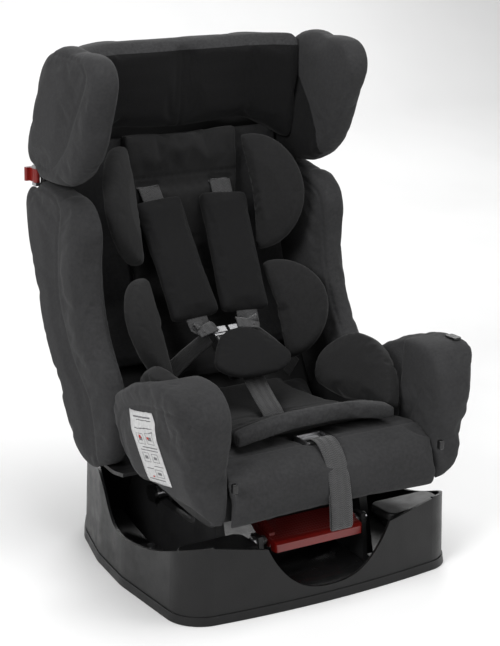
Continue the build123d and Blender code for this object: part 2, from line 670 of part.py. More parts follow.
with BuildPart() as buckle_housing:
    with Locations(at_buckle(0, 0, 0)):
        Box(BUCKLE_L, BUCKLE_W, BUCKLE_T)
    fillet(buckle_housing.edges(), 4)
    with Locations(at_buckle(14, 0, BUCKLE_T / 2 - 6)):
        Box(BUTTON_L + 0.8, BUTTON_W + 0.8, 20, mode=Mode.SUBTRACT,
            align=(Align.CENTER, Align.CENTER, Align.MIN))
    with Locations(at_buckle(-20, 13.5, 0), at_buckle(-20, -13.5, 0)):
        Box(30, 19, 4, mode=Mode.SUBTRACT)
save(buckle_housing.part, "buckle_housing")

with BuildPart() as buckle_button:
    with Locations(at_buckle(14, 0, BUCKLE_T / 2 - 6 + BUTTON_TRAVEL + 0.4)):
        Box(BUTTON_L, BUTTON_W, 6 - BUTTON_TRAVEL + 0.2, align=(Align.CENTER, Align.CENTER, Align.MIN))
    fillet(buckle_button.edges(), 0.9)
save(buckle_button.part, "buckle_button")

with BuildPart() as buckle_tongue:
    with Locations(at_buckle(-26, 13.5, 0)):
        Box(38, 17, 2)
    with Locations(at_buckle(-44, 15.5, 0)):
        Box(9, 26, 6)
    fillet(buckle_tongue.edges().filter_by(GeomType.LINE).group_by(SortBy.LENGTH)[0], 0.3)
save_pair(buckle_tongue.part, "buckle_tongue")

with BuildPart() as crotch_pad:
    with BuildSketch(at_buckle(6, 0, BUCKLE_T / 2 + 2)):
        with BuildLine():
            Spline((-36, 0), (-31, 22), (-6, 46), (22, 57), (36, 44), (44, 0), (36, -44), (22, -57),
                   (-6, -46), (-31, -22), periodic=True)
        make_face()
    extrude(amount=11)
    fillet(crotch_pad.edges(), 4)
save(crotch_pad.part, "crotch_pad")

save(webbing([(0, -76, 140), (0, -76, 204), (0, -50, 222), (0, -24, 242)]), "crotch_strap")
lap_path = [(110, 44, 219), (86, 50, 238), (34, 40, 281)]
save_pair(webbing(lap_path, width=28), "lap_strap")

# adjuster: a metal-rimmed slot in the roll with a press lever, and the strap that hangs from it
with BuildPart() as adjuster_housing:
    with Locations((0, ADJUSTER_YZ[0], 187)):
        Box(42, 34, 30)
    fillet(adjuster_housing.edges().filter_by(Axis.Z), 5)
    with Locations((0, ADJUSTER_YZ[0], 202)):
        Box(36, 26, 40, mode=Mode.SUBTRACT)
    with Locations((0, ADJUSTER_YZ[0] + 2, 176)):
        Box(STRAP_W + 2, 12, 20, mode=Mode.SUBTRACT)
save(adjuster_housing.part, "adjuster_housing")

LEVER_YZ = (ADJUSTER_YZ[0] + 9, 194)
with BuildPart() as adjuster_lever:
    with Locations((0, LEVER_YZ[0] - 2, LEVER_YZ[1] + 3)):
        Box(32, 11, 3)
    add(x_rod(2, -17.6, 17.6, *LEVER_YZ))
    with Locations((0, LEVER_YZ[0], LEVER_YZ[1] + 1)):
        Box(32, 3, 4)
save(adjuster_lever.part, "adjuster_lever")

loop_path = [(0, -164, 168), (0, -169, 190), (0, -174, 204), (0, -196, 202), (0, -220, 176), (0, -230, 140),
             (0, -233, 108), (0, -230, 101), (0, -227, 108), (0, -224, 140), (0, -222, 166)]
save(webbing(loop_path), "adjuster_strap")

# behind the back: the yoke that joins the shoulder straps to the adjuster strap
YOKE = (198, 414)
with BuildPart() as splitter_plate:
    with Locations(Plane(origin=(0, *YOKE), x_dir=(1, 0, 0), z_dir=(0, -1, 0.22))):
        Box(150, 34, 3)
        with Locations((SHOULDER_X, 0, 0), (-SHOULDER_X, 0, 0), (0, -8, 0)):
            Box(STRAP_W + 3, 5, 8, mode=Mode.SUBTRACT)
    fillet(splitter_plate.edges().filter_by(GeomType.LINE).group_by(SortBy.LENGTH)[-1], 0.8)
save(splitter_plate.part, "splitter_plate")

with BuildPart() as strap_anchors:
    with Locations((0, CROTCH_YZ[0] - 2, 138)):
        Box(52, 24, 2.5)
    with Locations((SHOULDER_X, 219, 444), (-SHOULDER_X, 219, 444)):
        Box(44, 3, 12)
save(strap_anchors.part, "strap_anchors")

# ================================================================ belt guides, labels and cover hooks
GUIDE_PIN = (198, 199)       # x and y of the guide's upright pin
GUIDE_Z = (480, 498)
with BuildPart() as belt_guide:
    with BuildSketch(Plane.XY.offset(GUIDE_Z[0])):
        with Locations(GUIDE_PIN):
            Circle(4.5)
        with Locations((GUIDE_PIN[0], GUIDE_PIN[1] + 9)):
            RectangleRounded(7, 20, 2.5)
        with Locations((GUIDE_PIN[0] + 3, GUIDE_PIN[1] + 16)):
            RectangleRounded(13, 6, 2.5)
        with Locations(GUIDE_PIN):
            Circle(2.05, mode=Mode.SUBTRACT)
    extrude(amount=GUIDE_Z[1] - GUIDE_Z[0])
save_pair(belt_guide.part, "belt_guide")

with BuildPart() as guide_mount:
    with Locations((197, GUIDE_PIN[1], GUIDE_Z[0] - 2.4), (197, GUIDE_PIN[1], GUIDE_Z[1] + 2.4)):
        Box(10, 11, 4)
    with Locations((193.2, GUIDE_PIN[1] - 4.9, (GUIDE_Z[0] + GUIDE_Z[1]) / 2)):
        Box(2.4, 1.2, GUIDE_Z[1] - GUIDE_Z[0] + 8.8)
    with Locations((*GUIDE_PIN, (GUIDE_Z[0] + GUIDE_Z[1]) / 2)):
        Cylinder(2, GUIDE_Z[1] - GUIDE_Z[0] + 6)
save_pair(guide_mount.part, "guide_mount")

# care labels sewn on the straight stretch of the hip wings' outer faces
(FACE_LOW_X, FACE_LOW_Z), (FACE_HIGH_X, FACE_HIGH_Z) = HIP_FACE[4], HIP_FACE[5]
with BuildPart() as care_labels:
    up_face = Vector(FACE_HIGH_X - FACE_LOW_X, 0, FACE_HIGH_Z - FACE_LOW_Z).normalized()
    face_mid = Vector((FACE_LOW_X + FACE_HIGH_X) / 2, -118, (FACE_LOW_Z + FACE_HIGH_Z) / 2)
    with BuildSketch(Plane(origin=face_mid, x_dir=(0, 1, 0), z_dir=Vector(0, 1, 0).cross(up_face))):
        Rectangle(62, 78, rotation=8)
    extrude(amount=0.8)
    mirror(about=Plane.YZ)
save(care_labels.part, "care_labels")

with BuildPart() as cover_hooks:
    for side in (-1, 1):
        with Locations((side * 154, -226.5, 182)):
            Box(7, 7, 12)
    fillet(cover_hooks.edges(), 1.5)
save(cover_hooks.part, "cover_hooks")

with BuildPart() as pull_tab:
    with Locations((206, -178, 304.6)):
        Box(12, 20, 2.4)
    fillet(pull_tab.edges().filter_by(Axis.Z), 2)
save(pull_tab.part, "pull_tab")
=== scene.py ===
import math

import bmesh
import bpy
import numpy as np
from mathutils import Matrix, Vector
from mathutils.bvhtree import BVHTree


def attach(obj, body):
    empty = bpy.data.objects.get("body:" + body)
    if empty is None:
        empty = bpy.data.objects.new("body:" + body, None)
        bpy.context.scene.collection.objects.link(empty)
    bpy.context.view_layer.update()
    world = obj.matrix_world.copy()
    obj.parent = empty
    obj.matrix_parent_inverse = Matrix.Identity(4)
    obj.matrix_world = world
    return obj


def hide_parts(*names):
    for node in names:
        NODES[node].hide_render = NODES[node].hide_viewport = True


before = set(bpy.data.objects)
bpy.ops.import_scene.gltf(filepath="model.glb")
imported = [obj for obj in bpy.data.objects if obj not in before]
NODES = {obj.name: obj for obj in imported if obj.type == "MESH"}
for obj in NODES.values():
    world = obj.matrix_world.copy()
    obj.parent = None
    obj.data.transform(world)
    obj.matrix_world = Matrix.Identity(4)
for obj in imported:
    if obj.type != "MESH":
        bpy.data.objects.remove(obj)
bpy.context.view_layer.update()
SCENE = bpy.context.scene
SIDES = {"right": 1, "left": -1}


def metres(*points):
    """Points given in millimetres, as an array in metres."""
    return np.array(points, float) / 1000


# ---------------------------------------------------------------- shader helpers
class Finish:
    """A Principled material, with short calls for the nodes that feed it."""

    def __init__(self, name, **sockets):
        self.material = bpy.data.materials.new(name)
        self.material.use_nodes = True
        self.tree = self.material.node_tree
        self.shader = self.tree.nodes["Principled BSDF"]
        for socket, value in sockets.items():
            self.shader.inputs[socket.replace("_", " ")].default_value = value
        self.place = self.node("ShaderNodeTexCoord").outputs["Object"]

    def node(self, kind, inputs=None, **settings):
        made = self.tree.nodes.new(kind)
        for key, value in settings.items():
            setattr(made, key, value)
        for key, value in (inputs or {}).items():
            if isinstance(value, bpy.types.NodeSocket):
                self.tree.links.new(value, made.inputs[key])
            else:
                made.inputs[key].default_value = value
        return made

    def math(self, operation, a, b=0.0, c=0.0):
        return self.node("ShaderNodeMath", {0: a, 1: b, 2: c}, operation=operation).outputs[0]

    def noise(self, scale, detail=2.0, roughness=0.5):
        made = self.node("ShaderNodeTexNoise", {"Vector": self.place, "Scale": scale,
                                                "Detail": detail, "Roughness": roughness})
        return made.outputs["Fac"]

    def cells(self, scale, randomness=1.0, feature="F1"):
        made = self.node("ShaderNodeTexVoronoi", {"Vector": self.place, "Scale": scale,
                                                  "Randomness": randomness}, feature=feature)
        return made.outputs["Distance"]

    def ramp(self, value, stops):
        made = self.node("ShaderNodeValToRGB", {"Fac": value})
        ramp = made.color_ramp
        while len(ramp.elements) < len(stops):
            ramp.elements.new(0.5)
        for element, (position, colour) in zip(ramp.elements, stops):
            element.position = position
            element.color = (*colour, 1.0)
        return made.outputs["Color"]

    def mix(self, factor, a, b):
        made = self.node("ShaderNodeMix", data_type="RGBA")
        for key, value in ((0, factor), (6, a), (7, b)):
            if isinstance(value, bpy.types.NodeSocket):
                self.tree.links.new(value, made.inputs[key])
            else:
                made.inputs[key].default_value = value
        return made.outputs[2]

    def colour(self, value):
        self.tree.links.new(value, self.shader.inputs["Base Color"])

    def roughness(self, value):
        self.tree.links.new(value, self.shader.inputs["Roughness"])

    def bump(self, height, distance, strength=1.0):
        made = self.node("ShaderNodeBump", {"Height": height, "Distance": distance, "Strength": strength})
        self.tree.links.new(made.outputs["Normal"], self.shader.inputs["Normal"])


def shades(colour, low=0.78, high=1.22):
    """A darker and a lighter version of a colour, as ramp stops."""
    return [(0.3, [c * low for c in colour]), (0.7, [c * high for c in colour])]


def knit(name, colour, cell=1.3, holes=0.0, relief=0.35, sheen=0.06, rough=0.88):
    """A knitted fabric: mottled yarn colour, small rounded stitches and an optional open mesh, with painted
    shade in its holes.
    """
    f = Finish(name, Sheen_Weight=sheen, Sheen_Roughness=0.45, Roughness=rough,
               Specular_IOR_Level=0.12)
    mottle = f.math("ADD", f.math("MULTIPLY", f.noise(9, 3), 0.45), f.math("MULTIPLY", f.noise(240, 3), 0.55))
    yarn = f.ramp(mottle, shades(colour))
    stitch = f.cells(1000 / cell, randomness=0.35)
    # painted shade: with holes, each stitch cell's centre is painted near-black for the shade inside the open
    # mesh
    painted_hole_shade = f.math("MULTIPLY", f.math("SUBTRACT", 0.62, stitch), holes)
    f.colour(f.mix(f.math("MAXIMUM", painted_hole_shade, 0.0), yarn, (*[c * 0.15 for c in colour], 1)))
    height = f.math("SUBTRACT", f.noise(900, 2), f.math("MULTIPLY", stitch, 1.0 - 2.0 * holes))
    f.bump(height, relief / 1000, 0.6)
    return f


def two_tone_or_painted_highlight(finish, colour, attribute):
    """Adds a second colour where a point attribute is above zero: a second plain yarn, or on the insert's lip a
    painted highlight.
    """
    edge = finish.node("ShaderNodeAttribute", attribute_name=attribute).outputs["Fac"]
    inside = finish.math("GREATER_THAN", edge, 0.0)
    first = finish.shader.inputs["Base Color"].links[0].from_socket
    second = finish.ramp(finish.noise(300, 3), shades(colour))
    finish.colour(finish.mix(inside, first, second))
    return finish


def moulded(name, colour, grain=1.2, relief=0.12, rough=0.45, **sockets):
    """Moulded plastic: spark-eroded grain, faint flow variation and handling scuffs."""
    f = Finish(name, Roughness=rough, **sockets)
    f.colour(f.ramp(f.noise(14, 4), shades(colour, 0.88, 1.12)))
    scuff = f.node("ShaderNodeMapRange", {"Value": f.noise(38, 6, 0.62), "From Min": 0.35, "From Max": 0.7,
                                          "To Min": rough - 0.06, "To Max": rough + 0.1})
    f.roughness(scuff.outputs["Result"])
    grains = f.math("MULTIPLY", f.cells(1000 / grain, feature="SMOOTH_F1"), -1.0)
    f.bump(f.math("ADD", grains, f.math("MULTIPLY", f.noise(1500, 1), 0.3)), relief / 1000, 0.55)
    return f


def grid_red(name, colour):
    """The lever's red plastic: glossy lip, fine moulded grid on the finger plate."""
    f = Finish(name, Roughness=0.3, Coat_Weight=0.25, Coat_Roughness=0.2)
    f.colour(f.ramp(f.noise(25, 3), shades(colour, 0.9, 1.1)))
    axes = f.node("ShaderNodeSeparateXYZ", {"Vector": f.place})
    lines = [f.math("SINE", f.math("MULTIPLY", axes.outputs[key], 2 * math.pi / 0.0042))
             for key in ("X", "Y")]
    ridge = f.math("POWER", f.math("MAXIMUM", f.math("MAXIMUM", *lines), 0.0), 4.0)
    plate = f.math("GREATER_THAN", axes.outputs["Y"], -0.176)
    f.bump(f.math("ADD", f.math("MULTIPLY", ridge, plate), f.math("MULTIPLY", f.noise(700, 2), 0.05)),
           0.0007, 0.8)
    return f


def woven_strap(name, colour, pitch=2.1):
    """Harness webbing: chevron ribs across a strap whose UVs run across (U) and along in metres (V)."""
    f = Finish(name, Roughness=0.62, Sheen_Weight=0.2, Specular_IOR_Level=0.4)
    uv = f.node("ShaderNodeSeparateXYZ", {"Vector": f.node("ShaderNodeTexCoord").outputs["UV"]})
    repeat = f.math("FRACT", f.math("MULTIPLY", uv.outputs["X"], 3.0))
    across = f.math("ABSOLUTE", f.math("SUBTRACT", repeat, 0.5))
    along = f.math("MULTIPLY", uv.outputs["Y"], 2000 * math.pi / pitch)
    rib = f.math("SINE", f.math("ADD", along, f.math("MULTIPLY", across, 14.0)))
    edge = f.math("ABSOLUTE", f.math("SUBTRACT", uv.outputs["X"], 0.5))
    selvage = f.math("GREATER_THAN", edge, 0.44)
    # painted shade and highlight: the rib term darkens the weave's troughs and lightens its crests; the noise
    # term is random yarn tone
    painted_rib_shade_and_tone = f.math("ADD", f.math("MULTIPLY", rib, 0.25), f.math("MULTIPLY", f.noise(120, 3), 0.6))
    tone = f.ramp(painted_rib_shade_and_tone, [(0.1, [c * 0.6 for c in colour]), (0.55, [c * 1.35 for c in colour])])
    f.colour(f.mix(f.math("MULTIPLY", selvage, 0.4), tone, (*[c * 0.5 for c in colour], 1)))
    f.bump(f.math("ADD", rib, selvage), 0.0004, 0.7)
    return f


def brushed_steel(name, tone, rough):
    f = Finish(name, Metallic=1.0, Roughness=rough)
    f.colour(f.ramp(f.noise(60, 4), shades((tone, tone, tone * 1.02), 0.85, 1.1)))
    stretched = f.node("ShaderNodeMapping", {"Vector": f.place, "Scale": (90.0, 1400.0, 1400.0)})
    brush = f.node("ShaderNodeTexNoise", {"Vector": stretched.outputs["Vector"], "Scale": 1.0, "Detail": 2.0})
    f.bump(brush.outputs["Fac"], 0.00008, 0.5)
    return f


GREY = (0.031, 0.031, 0.032)
INSERT = (0.014, 0.014, 0.0143)
BLACK = (0.0065, 0.0065, 0.0068)
RED = (0.17, 0.006, 0.004)

FINISHES = {
    "wing": knit("wing_knit", GREY),
    "head_wing": two_tone_or_painted_highlight(knit("head_wing_knit", GREY), BLACK, "mesh_side"),
    "head_panel": two_tone_or_painted_highlight(knit("head_mesh", BLACK, 2.0, 0.8), GREY, "grey_band"),
    "seat": knit("seat_knit", [c * 0.95 for c in GREY]),
    "insert": knit("insert_velour", INSERT, 1.0, sheen=0.08, relief=0.3),
    # painted highlight: the insert lip's front edge is painted in the lighter wing grey, standing in for the
    # overhead light it catches
    "lip": two_tone_or_painted_highlight(knit("insert_seat_velour", INSERT, 1.0, sheen=0.08, relief=0.3), GREY, "painted_highlight_edge"),
    "pad": knit("pad_cloth", BLACK, 0.9, sheen=0.06, rough=0.8, relief=0.2),
    "webbing": woven_strap("harness_webbing", (0.030, 0.030, 0.031)),
    "loop": woven_strap("adjuster_webbing", (0.034, 0.034, 0.035), pitch=2.6),
    "pebble": moulded("base_pebbled_plastic", (0.0060, 0.0060, 0.0062), 1.3, 0.22, 0.42,
                      Specular_IOR_Level=0.32),
    "tray": moulded("tray_smooth_plastic", (0.008, 0.008, 0.0083), 3.0, 0.02, 0.2),
    "shell": moulded("shell_moulded_plastic", (0.011, 0.011, 0.0115), 1.6, 0.12, 0.5),
    "black": moulded("buckle_plastic", (0.006, 0.006, 0.0062), 0.8, 0.04, 0.3),
    "rubber": moulded("foot_rubber_compound", (0.010, 0.010, 0.010), 0.9, 0.08, 0.75),
    "red": moulded("red_plastic_smooth", RED, 1.0, 0.03, 0.3),
    "lever": grid_red("lever_red_plastic", RED),
    "steel": brushed_steel("brushed_steel", 0.62, 0.28),
    "zinc": brushed_steel("zinc_plate", 0.42, 0.38),
    "label": knit("label_cloth_white", (0.48, 0.48, 0.48), 0.5, sheen=0.1, relief=0.05),
    "ink": knit("label_print_grey", (0.16, 0.16, 0.165), 0.5, sheen=0.0, relief=0.02),
    "spot": knit("label_print_red", (0.45, 0.04, 0.03), 0.5, sheen=0.0, relief=0.02),
}
CAD_FINISHES = {
    "pebble": ["base_shell", "corner_shelf_left", "corner_shelf_right"],
    "tray": ["base_tray"],
    "shell": ["seat_shell", "runner_left", "runner_right", "cradle_left", "cradle_right", "handle_brackets"],
    "rubber": ["rubber_feet"],
    "black": ["buckle_housing", "axle_caps", "cover_hooks", "pull_tab"],
    "red": ["buckle_button", "belt_guide_left", "belt_guide_right"],
    "lever": ["recline_handle"],
    "steel": ["handle_pivot_bolts", "axle_tube", "lock_bar", "adjuster_lever", "cradle_screws"],
    "zinc": ["handle_springs", "lock_rack", "splitter_plate", "strap_anchors", "adjuster_housing",
             "buckle_tongue_left", "buckle_tongue_right", "guide_mount_left", "guide_mount_right"],
}


def paint(obj, *finishes):
    obj.data.materials.clear()
    for key in finishes:
        obj.data.materials.append(FINISHES[key].material)


for key, names in CAD_FINISHES.items():
    for name in names:
        paint(NODES[name], key)


# ---------------------------------------------------------------- mesh helpers
def new_object(name, mesh):
    obj = bpy.data.objects.new(name, mesh)
    SCENE.collection.objects.link(obj)
    return obj


def read_points(mesh):
    points = np.empty(len(mesh.vertices) * 3)
    mesh.vertices.foreach_get("co", points)
    return points.reshape(-1, 3)


def write_points(mesh, points):
    mesh.vertices.foreach_set("co", np.asarray(points, np.float32).ravel())
    mesh.update()


def read_normals(mesh):
    normals = np.empty(len(mesh.vertices) * 3)
    mesh.vertex_normals.foreach_get("vector", normals)
    return normals.reshape(-1, 3)


def apply_modifiers(obj):
    graph = bpy.context.evaluated_depsgraph_get()
    mesh = bpy.data.meshes.new_from_object(obj.evaluated_get(graph))
    obj.modifiers.clear()
    obj.data = mesh


def modify(obj, kind, **settings):
    modifier = obj.modifiers.new(kind.lower(), kind)
    for key, value in settings.items():
        setattr(modifier, key, value)
    apply_modifiers(obj)


def shade_smooth(obj):
    obj.data.polygons.foreach_set("use_smooth", [True] * len(obj.data.polygons))


def spline(points, step=0.002, closed=False):
    """A smooth line through points, sampled about every step."""
    points = np.asarray(points, float)
    count = len(points)
    sampled = []
    for i in range(count if closed else count - 1):
        if closed:
            p0, p1, p2, p3 = (points[(i + k) % count] for k in (-1, 0, 1, 2))
        else:
            p0, p1 = points[max(i - 1, 0)], points[i]
            p2, p3 = points[i + 1], points[min(i + 2, count - 1)]
        pieces = max(2, int(np.linalg.norm(p2 - p1) / step))
        for t in np.arange(pieces) / pieces:
            sampled.append(0.5 * (2 * p1 + (p2 - p0) * t + (2 * p0 - 5 * p1 + 4 * p2 - p3) * t * t
                                  + (3 * p1 - p0 - 3 * p2 + p3) * t ** 3))
    if not closed:
        sampled.append(points[-1])
    return np.array(sampled)


def nearest_distance(points, line):
    """Each point's distance to the nearest sample of a line."""
    best = np.full(len(points), np.inf)
    for start in range(0, len(points), 4000):
        block = points[start:start + 4000]
        gaps = np.linalg.norm(block[:, None, :] - line[None, :, :], axis=2)
        best[start:start + 4000] = gaps.min(axis=1)
    return best


def surface_tree(obj):
    return BVHTree.FromPolygons([v.co for v in obj.data.vertices],
                                [tuple(p.vertices) for p in obj.data.polygons])


def on_surface(tree, line):
    """A line laid on a surface: the nearest points and the surface's normals there."""
    hits = [tree.find_nearest(Vector(p))[:2] for p in line]
    return np.array([h[0] for h in hits]), np.array([h[1] for h in hits])


# ---------------------------------------------------------------- padded pieces
CLOTH_FRAMES = 20
PIN_REACH = 0.009
PADS = []


class Pad:
    """A stuffed piece grown from the plain solid of its CAD node."""

    def __init__(self, name, node, finish, slot, voxel=5.0, relax=4, swell=5.0, slack=0.0, fill=0.7,
                 seams=(), shape=None):
        self.name, self.node, self.finish, self.slot = name, node, finish, slot
        self.swell, self.slack, self.fill = swell / 1000, slack, fill
        self.obj = new_object(name, NODES[node].data.copy())
        self.obj.data.materials.clear()
        modify(self.obj, "WELD", merge_threshold=0.00002)
        modify(self.obj, "REMESH", mode="VOXEL", voxel_size=voxel / 1000)
        modify(self.obj, "SMOOTH", iterations=relax, factor=0.5)
        if shape:
            write_points(self.obj.data, shape(read_points(self.obj.data)))
        tree = surface_tree(self.obj)
        self.seams = [on_surface(tree, spline(metres(*seam), 0.003))[0] for seam in seams]
        PADS.append(self)

    def add_cloth(self):
        points = read_points(self.obj.data)
        group = self.obj.vertex_groups.new(name="sewn")
        for seam in self.seams:
            hold = np.clip(1.4 - nearest_distance(points, seam) / PIN_REACH, 0, 1)
            for index in np.nonzero(hold)[0]:
                group.add([int(index)], float(hold[index]), "REPLACE")
        cloth = self.obj.modifiers.new("cloth", "CLOTH")
        settings = cloth.settings
        settings.quality = 4
        settings.mass = 0.3
        settings.tension_stiffness = settings.compression_stiffness = 12
        settings.shear_stiffness = 6
        settings.bending_stiffness = 0.6
        settings.shrink_min = -self.slack
        settings.use_pressure = True
        settings.uniform_pressure_force = 4.0
        settings.effector_weights.gravity = 0.0
        settings.vertex_group_mass = "sewn"
        cloth.point_cache.frame_start = 1
        cloth.point_cache.frame_end = CLOTH_FRAMES

    def take_cloth(self):
        before = read_points(self.obj.data)
        graph = bpy.context.evaluated_depsgraph_get()
        after = read_points(self.obj.evaluated_get(graph).data)
        move = after - before
        length = np.linalg.norm(move, axis=1, keepdims=True)
        self.grown = before + move * np.minimum(1, self.swell / np.maximum(length, 1e-9))

    def settle(self):
        if hasattr(self, "grown"):
            self.obj.modifiers.clear()
            write_points(self.obj.data, self.grown)
            self.obj.vertex_groups.clear()
        modify(self.obj, "SUBSURF", levels=1)

    def crease(self, seams=None, depth=1.8, width=2.4):
        """Pulls the surface in along the seams."""
        points, normals = read_points(self.obj.data), read_normals(self.obj.data)
        for seam in self.seams if seams is None else seams:
            pull = depth / 1000 * np.exp(-(nearest_distance(points, seam) / (width / 1000)) ** 2)
            points = points - normals * pull[:, None]
        write_points(self.obj.data, points)

    def finish_up(self, body="seat"):
        shade_smooth(self.obj)
        paint(self.obj, self.finish)
        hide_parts(self.node)
        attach(self.obj, body)
        return self.obj


def simulate_pads():
    """Blows every pad up under its own pressure, all in one run."""
    for pad in PADS:
        pad.add_cloth()
    SCENE.frame_start, SCENE.frame_end = 1, CLOTH_FRAMES
    for number in range(1, CLOTH_FRAMES + 1):
        SCENE.frame_set(number)
    for pad in PADS:
        pad.take_cloth()


def mirrored_pad(pad, name, node):
    """The left-hand twin of a finished right-hand pad."""
    mesh = pad.obj.data.copy()
    mesh.transform(Matrix.Diagonal((-1, 1, 1, 1)))
    mesh.flip_normals()
    twin = new_object(name, mesh)
    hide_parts(node)
    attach(twin, "seat")
    return twin


def mark(obj, attribute, values):
    layer = obj.data.attributes.new(attribute, "FLOAT", "POINT")
    layer.data.foreach_set("value", np.asarray(values, np.float32))


def beyond_line(points_yz, line_yz):
    """Signed distance in the side view: positive on the left of a line as it is walked."""
    line = np.asarray(line_yz, float) / 1000
    best = np.full(len(points_yz), np.inf)
    signed = np.zeros(len(points_yz))
    for a, b in zip(line, line[1:]):
        run = b - a
        t = np.clip(((points_yz - a) @ run) / (run @ run), 0, 1)
        offset = points_yz - (a + t[:, None] * run)
        distance = np.linalg.norm(offset, axis=1)
        side = np.sign(run[0] * offset[:, 1] - run[1] * offset[:, 0])
        closer = distance < best - 1e-9
        best[closer] = distance[closer]
        signed[closer] = (side * distance)[closer]
    return signed


def at_x(x, outline):
    """Side-view (y, z) points placed at one x."""
    return [(x, y, z) for y, z in outline]


# the hip wing's outer face from the front: its x at each height
HIP_FACE_Z = (100, 118, 128, 150, 172, 258, 285, 330)
HIP_FACE_X = (150, 158, 174, 189, 197, 217, 222, 222)


def on_hip_face(outline):
    """Side-view points laid on the hip wing's outer face, which swells out to its rim."""
    return [(float(np.interp(z, HIP_FACE_Z, HIP_FACE_X)), y, z) for y, z in outline]


def leaning(outline):
    """Side-view points laid on the hip wing's leaning inner face."""
    return [(152 + (z - 172) * 0.42, y, z) for y, z in outline]


# head panel: where its bend starts and how wide it is, its top, and the reach and drop of its ends
CURL_FROM_X, CURL_RUN = 0.098, 0.074
PANEL_TOP, PANEL_DEPTH = 0.650, 0.11
CURL_REACH, CURL_DROP = 0.040, 0.030


def curl_forward(points):
    """Bends the head panel's two ends forwards round the child's head, and drops their lower edge."""
    past = np.clip((np.abs(points[:, 0]) - CURL_FROM_X) / CURL_RUN, 0, None)
    low = np.clip((PANEL_TOP - points[:, 2]) / PANEL_DEPTH, 0, 1)
    points[:, 1] -= CURL_REACH * past ** 2
    points[:, 2] -= CURL_DROP * past ** 1.5 * low
    return points


PAD_GROWTH = (0.12, 0.04, 0.08)


def broaden(points):
    """Widens and lengthens a shoulder pad about its middle."""
    return points + (points - points.mean(axis=0)) * PAD_GROWTH


# insert seat's lip: half its width, where it starts and how far it runs, and its corners' drop
LIP_HALF, LIP_FROM_Y, LIP_RUN, LIP_DROP = 0.117, -0.120, 0.05, 0.016


def crescent(points):
    """Drops the front lip of the insert's seat towards its two corners."""
    aside = np.clip(np.abs(points[:, 0]) / LIP_HALF, 0, 1) ** 2.5
    front = np.clip((LIP_FROM_Y - points[:, 1]) / LIP_RUN, 0, 1)
    points[:, 2] -= LIP_DROP * aside * front
    return points


HEAD_SEAM = [(131, 657), (98, 658), (63, 655), (48, 645), (46, 633), (59, 609), (82, 574), (99, 546),
             (122, 523), (140, 510), (157, 506), (174, 507)]
HEAD_MESH_EDGE = [(190, 660), (160, 615), (132, 600), (107, 567), (91, 535), (84, 492)]
TORSO_SEAM = [(187, 478), (146, 474), (127, 464), (122, 452), (129, 411), (130, 377), (126, 338),
              (110, 302), (91, 270), (70, 247), (48, 224), (35, 187), (28, 145)]
TORSO_INNER_SEAM = [(120, 464), (83, 450), (72, 421), (62, 360), (41, 308), (11, 266), (2, 220)]
HEAD_PANEL_SEAM = [(172, 544), (161, 570), (157, 600), (155, 640)]
HIP_SEAM = [(-40, 170), (-39, 210), (-47, 228), (-73, 249), (-128, 267), (-187, 274), (-216, 272)]
HIP_INNER_SEAMS = [[(-163, 297), (-170, 270), (-175, 235)],
                   [(-212, 290), (-187, 249), (-168, 214), (-150, 180)]]


def build_pads():
    pads = {}
    pads["head"] = Pad("head_wing_pad_right", "head_wing_cover_right", "head_wing", "wing_fabric", relax=5,
                       slack=0.02, seams=[at_x(205, HEAD_SEAM), at_x(168, HEAD_MESH_EDGE)])
    pads["torso"] = Pad("torso_wing_pad_right", "torso_wing_cover_right", "wing", "wing_fabric", relax=5,
                        slack=0.02, seams=[at_x(205, TORSO_SEAM), at_x(168, TORSO_INNER_SEAM)])
    pads["hip"] = Pad("hip_wing_pad_right", "hip_wing_cover_right", "wing", "wing_fabric", relax=14,
                      slack=0.02, seams=[on_hip_face(HIP_SEAM), *map(leaning, HIP_INNER_SEAMS)])
    pads["roll"] = Pad("seat_roll_pad", "seat_cushion", "seat", "wing_fabric", relax=6, slack=0.02,
                       seams=[[(x, -178, 201) for x in range(-150, 151, 20)]])
    pads["back"] = Pad("back_panel_pad", "back_cover", "seat", "wing_fabric", voxel=4, relax=3, swell=2)
    pads["headrest"] = Pad("head_panel_pad", "head_panel", "head_panel", "mesh_fabric", voxel=4, relax=12,
                           swell=5, shape=curl_forward, seams=[at_x(0, HEAD_PANEL_SEAM)])
    channels = [[(x, y, z) for x in range(-84, 85, 14)] for y, z in ((158, 478), (131, 350), (103, 292))]
    pads["insert"] = Pad("insert_back_pad", "insert_back", "insert", "insert_fabric", relax=3, swell=9,
                         slack=0.03, seams=channels)
    pads["lip"] = Pad("insert_seat_pad", "insert_seat", "lip", "insert_fabric", voxel=4, relax=4, swell=5,
                      slack=0.02, shape=crescent, seams=[[(x, -156, 238) for x in range(-112, 113, 16)]])
    pads["head_bolster"] = Pad("head_bolster_pad_right", "head_bolster_right", "insert", "insert_fabric",
                               voxel=4, relax=4, swell=6, slack=0.02)
    pads["waist_bolster"] = Pad("waist_bolster_pad_right", "waist_bolster_right", "insert", "insert_fabric",
                                voxel=4, relax=4, swell=6, slack=0.02)
    pads["thigh_bolster"] = Pad("thigh_bolster_pad_right", "thigh_bolster_right", "insert", "insert_fabric",
                                voxel=4, relax=4, swell=6, slack=0.02)
    pads["shoulder"] = Pad("shoulder_strap_pad_right", "shoulder_pad_right", "pad", "pad_fabric", voxel=3.5,
                           relax=3, swell=3, fill=0.5, shape=broaden)
    pads["crotch"] = Pad("crotch_buckle_pad", "crotch_pad", "pad", "pad_fabric", voxel=3.5, relax=3,
                         swell=3, fill=0.5)
    return pads


PAD = build_pads()
simulate_pads()
for pad in PADS:
    pad.settle()
for pad in PADS:
    pad.crease()

